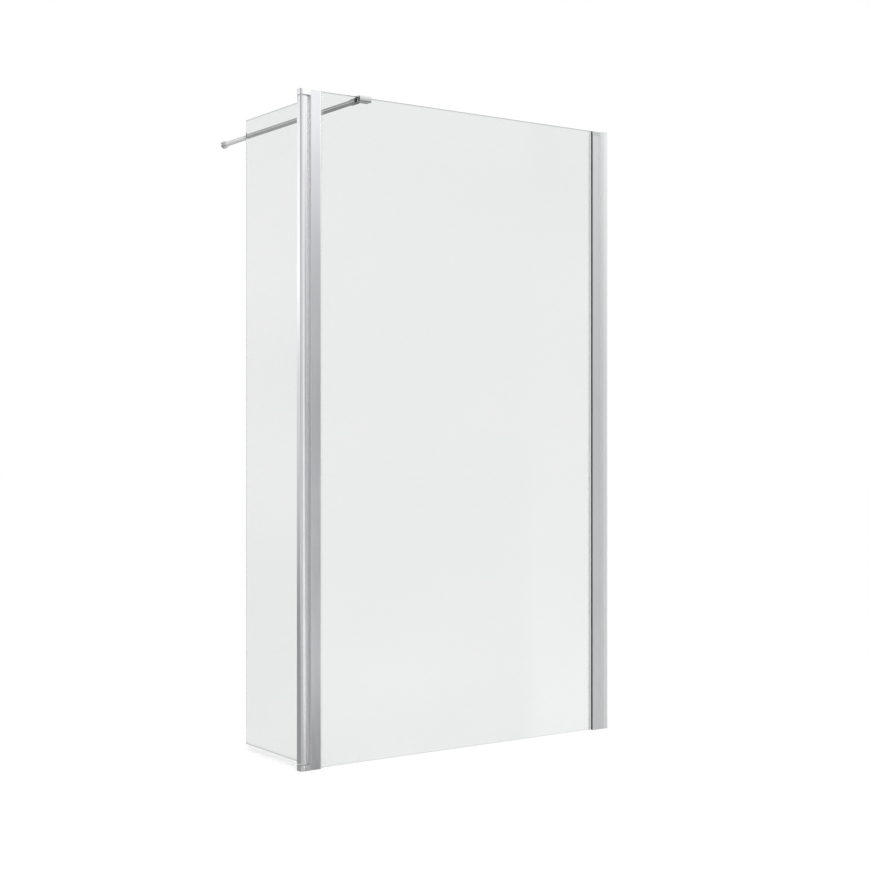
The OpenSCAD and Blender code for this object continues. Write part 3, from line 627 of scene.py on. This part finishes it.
def make_pane(name, node, shades, lower):
    """Clear toughened glass with a painted dark line along its top and, less strongly, along its bottom.

    Seen from outside, its cut faces glow a faint green, painted light for the light that they scatter.
    """
    made, shading, shader = material(name)
    corner, far_corner = (Vector(point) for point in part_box(node))
    size = far_corner - corner
    middle = tuple((corner + far_corner) / 2)
    place = shading.place()
    below, above, start, end = shades
    # Painted shade: the face is darker over the upper part of the pane
    face = shading.use(pane_face, Place=place, Below=below, Above=above, Start=start, End=end)["Colour"]
    half = (PANE_CLEAR, PANE_CLEAR, size.z / 2)
    # Painted dark line along the top and, less strongly, the bottom of the pane
    line = shading.use(pane_edge, Place=place, Middle=middle, Half=half, Band=PANE_BAND, Lower=lower)["Edge"]
    shading.link(shading.mix(line, face, PANE_PAINTED_EDGE_LINE), shader.inputs["Base Color"])
    # Painted light: the cut faces glow a faint green where seen from outside
    half = tuple(PANE_CLEAR if side < PANE_THIN else side / 2 for side in size)
    cut = shading.use(pane_edge, Place=place, Middle=middle, Half=half, Band=CUT_DEPTH, Lower=1.0)["Edge"]
    outside = shading.math("SUBTRACT", 1.0, shading.add("ShaderNodeNewGeometry").outputs["Backfacing"])
    seen = shading.math("MULTIPLY", cut, outside)
    shading.link(shading.mix(seen, grey(0.0), CUT_PAINTED_GLOW), shader.inputs["Emission Color"])
    shader.inputs["Emission Strength"].default_value = 1.0
    shader.inputs["Metallic"].default_value = 0.0
    shader.inputs["Roughness"].default_value = 0.0
    shader.inputs["IOR"].default_value = GLASS_IOR
    shader.inputs["Transmission Weight"].default_value = 1.0
    let_light_through(shading, shader, GLASS_SHADOW)
    return made


def make_clear_strip(name, alpha):
    """Clear flexible PVC of the strips, with faint draw lines."""
    made, shading, shader = material(name)
    drawn = shading.use(drawn_lines, Place=shading.place(), Fine=0.5, Waves=0.6)
    shading.link(shading.mix(drawn["Lines"], PVC_DARK, PVC_LIGHT), shader.inputs["Base Color"])
    shading.link(shading.span(drawn["Lines"], *NOISE_MIDDLE, *PVC_ROUGH), shader.inputs["Roughness"])
    shader.inputs["IOR"].default_value = GLASS_IOR
    shader.inputs["Transmission Weight"].default_value = PVC_CLEARNESS
    shader.inputs["Alpha"].default_value = alpha
    shading.bump(shader, drawn["Height"], STRIP_BUMP)
    let_light_through(shading, shader, PVC_SHADOW)
    return made


def make_clear_seal(name, pane_foot):
    """Clear PVC of the seal under the return pane, drawn along Y and hardly to be seen."""
    made, shading, shader = material(name)
    place = shading.place()
    along_y = shading.stretch(place, turn=(math.radians(90.0), 0.0, 0.0))
    drawn = shading.use(drawn_lines, Place=along_y, Fine=0.3, Waves=0.4)
    shading.link(shading.mix(drawn["Lines"], SEAL_DARK, SEAL_LIGHT), shader.inputs["Base Color"])
    solid = shading.span(shading.split(place)[2], pane_foot - SEAL_CHANGE, pane_foot, *SEAL_ALPHA)
    shading.link(solid, shader.inputs["Alpha"])
    shader.inputs["Roughness"].default_value = SEAL_ROUGH
    shader.inputs["IOR"].default_value = SEAL_IOR
    shader.inputs["Transmission Weight"].default_value = SEAL_CLEARNESS
    shading.bump(shader, drawn["Height"], SEAL_BUMP)
    let_light_through(shading, shader, SEAL_SHADOW)
    return made


def make_wall_strip(name, core, outer):
    """Strip of three rubbers drawn together: a clear fin on the pane, a milky core and a dark outer face.

    Core and outer are the places along X from which the strip is solid and its outer face dark.
    """
    made, shading, shader = material(name)
    place = shading.place()
    parts = shading.use(strip_parts, Place=place, Core=core, Outer=outer)
    drawn = shading.use(drawn_lines, Place=place, Fine=0.6, Waves=0.6)
    rubber = shading.mix(drawn["Lines"], RUBBER_DARK, RUBBER_LIGHT)
    shading.link(shading.mix(parts["Dark"], grey(1.0), rubber), shader.inputs["Base Color"])
    shading.link(shading.span(parts["Dark"], 0.0, 1.0, *STRIP_ROUGH), shader.inputs["Roughness"])
    shading.link(shading.span(parts["Solid"], 0.0, 1.0, FIN_ALPHA, 1.0), shader.inputs["Alpha"])
    shading.bump(shader, drawn["Height"], STRIP_BUMP)
    return made


def make_moulded(name, light, dark, rough):
    """Moulded plastic with a spark-eroded grain."""
    made, shading, shader = material(name)
    surface = shading.use(moulded_grain, Place=shading.place())
    roughness = shading.span(surface["Grain"], *NOISE_MIDDLE, rough, rough + GRAIN_ROUGHER)
    shading.link(shading.mix(surface["Cloud"], tinted(light), tinted(dark)), shader.inputs["Base Color"])
    shading.link(roughness, shader.inputs["Roughness"])
    shading.bump(shader, surface["Grain"], MOULDED_BUMP)
    return made


# Joint tones below are painted shade and light, and bands are painted highlights
turning_aluminium = make_extrusion(
    "turning_aluminium", tone=(0.88, 0.89, 0.91), rough=0.07, waves=1.6,
    joint=(4.5 * MM, 8.5 * MM), mouth=0.86)
# The post's dark mouth is painted shade on its nose; its band is a painted highlight on its far edge
post_aluminium = make_extrusion(
    "post_aluminium", tone=(0.80, 0.81, 0.835), rough=0.07, waves=1.0,
    band=(post_end - 3.2 * MM, post_end - 1.8 * MM, 1.0, 1.22),
    joint=(post_start + 3.5 * MM, post_start + 2.0 * MM), mouth=0.41)
wall_aluminium = make_extrusion("wall_aluminium", tone=(0.80, 0.81, 0.82), rough=0.28, waves=0.6)
# The channel's band is a painted highlight, brighter towards the wall
channel_aluminium = make_extrusion(
    "channel_aluminium", tone=(0.84, 0.85, 0.86), rough=0.28, waves=0.6,
    band=(channel_start + 12.0 * MM, channel_start + 17.0 * MM, 1.03, 1.19),
    joint=(channel_start + 0.4 * MM, channel_start + 0.2 * MM), mouth=0.82)
chrome = make_chrome("chrome", tone=(0.82, 0.825, 0.84), rough=0.06)
lug_chrome = make_chrome("lug_chrome", tone=(0.96, 0.965, 0.98), rough=0.06)
chromed_tube = make_bar_tube("chromed_tube", tone=(0.60, 0.60, 0.61), rough=0.10)
clamp_chrome = make_clamp_chrome(
    "clamp_chrome", rough=0.10,
    low=liner_low[2] + CLAMP_ABOVE_LINER, high=liner_high[2] + CLAMP_ABOVE_LINER,
    left=liner_low[0] - CLAMP_PAST_LINER, right=liner_high[0] + CLAMP_PAST_LINER)
steel = make_turned_steel("steel", tone=(0.62, 0.62, 0.63), rough=0.25)
main_pane = make_pane("main_pane", "main_glass", MAIN_SHADES, lower=0.3)
return_pane = make_pane("return_pane", "return_glass", RETURN_SHADES, lower=1.0)
clear_strip = make_clear_strip("clear_strip", alpha=1.0)
post_strip = make_clear_strip("post_strip", alpha=0.10)
clear_seal = make_clear_seal("clear_seal", return_pane_foot)
core_start = glazing_start - STRIP_CORE
wall_strip = make_wall_strip("wall_strip", core=core_start, outer=core_start)
wall_strip_back = make_wall_strip("wall_strip_back", core=core_start, outer=glazing_start + STRIP_HIDDEN)
cap_plastic = make_moulded(
    "cap_plastic", light=(0.525, 0.535, 0.545), dark=(0.475, 0.485, 0.495), rough=0.42)
nylon = make_moulded("nylon", light=(0.82, 0.82, 0.80), dark=(0.76, 0.76, 0.73), rough=0.4)


# Pieces

def rounded_copy(node, finish, size):
    """A copy of a CAD node with its edges broken by a round of this size, standing for that node."""
    shape = bmesh.new()
    shape.from_mesh(nodes[node].data)
    bmesh.ops.remove_doubles(shape, verts=shape.verts, dist=MERGE_WITHIN)
    bmesh.ops.dissolve_limit(shape, angle_limit=FLAT_WITHIN, verts=shape.verts, edges=shape.edges)
    sharp = [edge for edge in shape.edges if edge.is_manifold and edge.calc_face_angle() > SHARP_FROM]
    bmesh.ops.bevel(shape, geom=sharp, affect="EDGES", offset=size, offset_type="OFFSET",
                    segments=ROUND_STEPS, profile=0.5, material=-1, clamp_overlap=True)
    for face in shape.faces:
        face.smooth = True
    for edge in shape.edges:
        edge.smooth = not edge.is_manifold or edge.calc_face_angle() < SHARP_FROM
    mesh = bpy.data.meshes.new(node + "_finished")
    shape.to_mesh(mesh)
    shape.free()
    made = bpy.data.objects.new(node + "_finished", mesh)
    bpy.context.scene.collection.objects.link(made)
    mesh.materials.append(finish)
    flat = made.modifiers.new("flat_faces", "WEIGHTED_NORMAL")
    flat.weight = FLAT_WEIGHT
    flat.keep_sharp = True
    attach(made, bodies[node])
    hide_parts(node)


def dress(node, finish):
    """Gives a CAD node that stays its finish."""
    shown = nodes[node]
    shown.data.materials.clear()
    shown.data.materials.append(finish)


for node, finish, size in (
    ("return_profile", turning_aluminium, 0.25 * MM),
    ("post_profile", post_aluminium, 0.25 * MM),
    ("glazing_profile", wall_aluminium, 0.25 * MM),
    ("wall_channel", channel_aluminium, 0.25 * MM),
    ("wall_channel_cap", chrome, 0.4 * MM),
    ("top_pivot_lug", lug_chrome, 0.5 * MM),
    ("bottom_pivot_lug", lug_chrome, 0.5 * MM),
    ("bar_clamp", clamp_chrome, 1.0 * MM),
    ("bar_wall_socket", chrome, 0.4 * MM),
    ("stabiliser_bar", chromed_tube, 0.3 * MM),
    ("bar_wall_plate", steel, 0.2 * MM),
    ("lug_screws", steel, 0.2 * MM),
    ("lock_screws", steel, 0.2 * MM),
    ("lock_washers", steel, 0.1 * MM),
    ("clamp_screws", steel, 0.15 * MM),
    ("bar_grub_screws", steel, 0.1 * MM),
    ("pivot_block_screws", steel, 0.1 * MM),
    ("top_pivot_pin", steel, 0.3 * MM),
    ("bottom_pivot_pin", steel, 0.3 * MM),
    ("glazing_cap_top", cap_plastic, 0.4 * MM),
    ("glazing_cap_bottom", cap_plastic, 0.2 * MM),
    ("top_pivot_block", cap_plastic, 0.25 * MM),
    ("bottom_pivot_block", cap_plastic, 0.25 * MM),
):
    rounded_copy(node, finish, size)

for node, finish in (
    ("main_glass", main_pane),
    ("return_glass", return_pane),
    ("post_gasket_front", post_strip),
    ("post_gasket_back", post_strip),
    ("return_gasket_outer", clear_strip),
    ("return_gasket_inner", clear_strip),
    ("bottom_seal", clear_seal),
    ("clamp_liner", clear_strip),
    ("wall_gasket_front", wall_strip),
    ("wall_gasket_back", wall_strip_back),
    ("post_seal", clear_strip),
    ("top_bush", nylon),
    ("bottom_bush", nylon),
    ("thrust_washer", nylon),
):
    dress(node, finish)


# Studio

def make_floor():
    """Plain white floor that keeps the shadows and otherwise shows as the white background."""
    shape = bmesh.new()
    bmesh.ops.create_circle(shape, cap_ends=True, segments=FLOOR_CORNERS, radius=FLOOR_RADIUS)
    mesh = bpy.data.meshes.new("floor")
    shape.to_mesh(mesh)
    shape.free()
    floor = bpy.data.objects.new("floor", mesh)
    bpy.context.scene.collection.objects.link(floor)
    floor.location = FLOOR_AT
    made, shading, shader = material("floor_white")
    shading.tree.nodes.remove(shader)
    path = shading.add("ShaderNodeLightPath")
    seen = shading.math("MAXIMUM", path.outputs["Is Camera Ray"], path.outputs["Is Transmission Ray"])
    lit = shading.add("ShaderNodeBsdfDiffuse")
    lit.inputs[0].default_value = grey(FLOOR_LIT)
    shaded = shading.add("ShaderNodeBsdfDiffuse")
    shaded.inputs[0].default_value = grey(FLOOR_SEEN)
    glow = shading.add("ShaderNodeEmission")
    glow.inputs[0].default_value = grey(1.0)
    glow.inputs[1].default_value = FLOOR_GLOW
    both = shading.add("ShaderNodeAddShader")
    shading.link(shaded.outputs[0], both.inputs[0])
    shading.link(glow.outputs[0], both.inputs[1])
    pick = shading.add("ShaderNodeMixShader")
    shading.link(seen, pick.inputs[0])
    shading.link(lit.outputs[0], pick.inputs[1])
    shading.link(both.outputs[0], pick.inputs[2])
    shading.link(pick.outputs[0], shading.tree.nodes["Material Output"].inputs["Surface"])
    mesh.materials.append(made)
    floor.visible_glossy = False


def tone_by_height(shading, height, stops):
    """A grey that changes with the height of the direction."""
    ramp = shading.add("ShaderNodeValToRGB")
    shading.link(shading.span(height, -1.0, 1.0), ramp.inputs[0])
    elements = ramp.color_ramp.elements
    elements[0].color = grey(stops[0][1])
    elements[1].color = grey(stops[-1][1])
    for at, tone in stops[1:-1]:
        elements.new((at + 1.0) / 2.0).color = grey(tone)
    return ramp.outputs[0]


def leaning(shading, level, height, lean):
    """The level direction turned about the vertical in step with its height."""
    turned = shading.add("ShaderNodeVectorRotate", rotation_type="Z_AXIS")
    shading.link(level, turned.inputs["Vector"])
    shading.link(shading.math("MULTIPLY", height, lean), turned.inputs["Angle"])
    return turned.outputs[0]


def facing(shading, level, turn, near, far):
    """1 within near degrees of a direction turned so many degrees from -Y towards +X, 0 past far degrees."""
    turn, near, far = (math.radians(angle) for angle in (turn, near, far))
    dot = shading.add("ShaderNodeVectorMath", operation="DOT_PRODUCT")
    shading.link(level, dot.inputs[0])
    dot.inputs[1].default_value = (math.sin(turn), -math.cos(turn), 0.0)
    return shading.span(dot.outputs["Value"], math.cos(far), math.cos(near), smooth=True)


def make_world():
    """White surroundings. What metal mirrors of them is a studio, brighter on some sides than on others."""
    world = bpy.data.worlds.new("studio")
    bpy.context.scene.world = world
    world.use_nodes = True
    shading = Shading(world.node_tree)
    back = shading.tree.nodes["Background"]
    direction = shading.add("ShaderNodeTexCoord").outputs["Generated"]
    height = shading.split(direction)[2]
    level = shading.vector_math("NORMALIZE", shading.stretch(direction, (1.0, 1.0, 0.0)))
    tone = tone_by_height(shading, height, RIGHT_SIDE)
    for stops, turn, near, far, lean in STUDIO_SIDES:
        seen_from = leaning(shading, level, height, lean) if lean else level
        side = facing(shading, seen_from, turn, near, far)
        tone = shading.mix(side, tone, tone_by_height(shading, height, stops))
    path = shading.add("ShaderNodeLightPath")
    not_glass = shading.math("SUBTRACT", 1.0, path.outputs["Is Transmission Ray"])
    mirrored = shading.math("MULTIPLY", path.outputs["Is Glossy Ray"], not_glass)
    shading.link(shading.mix(mirrored, grey(1.0), tone), back.inputs[0])
    back.inputs[1].default_value = 1.0
    world.cycles.sampling_method = "NONE"


def make_lamp():
    """Soft square lamp that the metal doesn't mirror."""
    light = bpy.data.lights.new("window", "AREA")
    light.shape = "SQUARE"
    light.size = LAMP_SIDE
    light.energy = LAMP_WATTS
    lamp = bpy.data.objects.new("window", light)
    lamp.location = LAMP_AT
    lamp.rotation_euler = (Vector(LAMP_TOWARDS) - Vector(LAMP_AT)).to_track_quat("-Z", "Y").to_euler()
    lamp.visible_glossy = False
    lamp.visible_transmission = False
    bpy.context.scene.collection.objects.link(lamp)


def make_camera():
    """The photograph's camera, level and turned towards the fixed pane."""
    lens = bpy.data.cameras.new("photograph_view")
    lens.lens = CAMERA_LENS
    lens.sensor_width = CAMERA_SENSOR
    lens.clip_end = CAMERA_REACH
    camera = bpy.data.objects.new("photograph_view", lens)
    camera.location = CAMERA_AT
    camera.rotation_euler = (math.radians(90.0), 0.0, -CAMERA_TURN)
    bpy.context.scene.collection.objects.link(camera)
    bpy.context.scene.camera = camera


make_floor()
make_world()
make_lamp()
make_camera()
bpy.context.scene.view_settings.view_transform = "Standard"
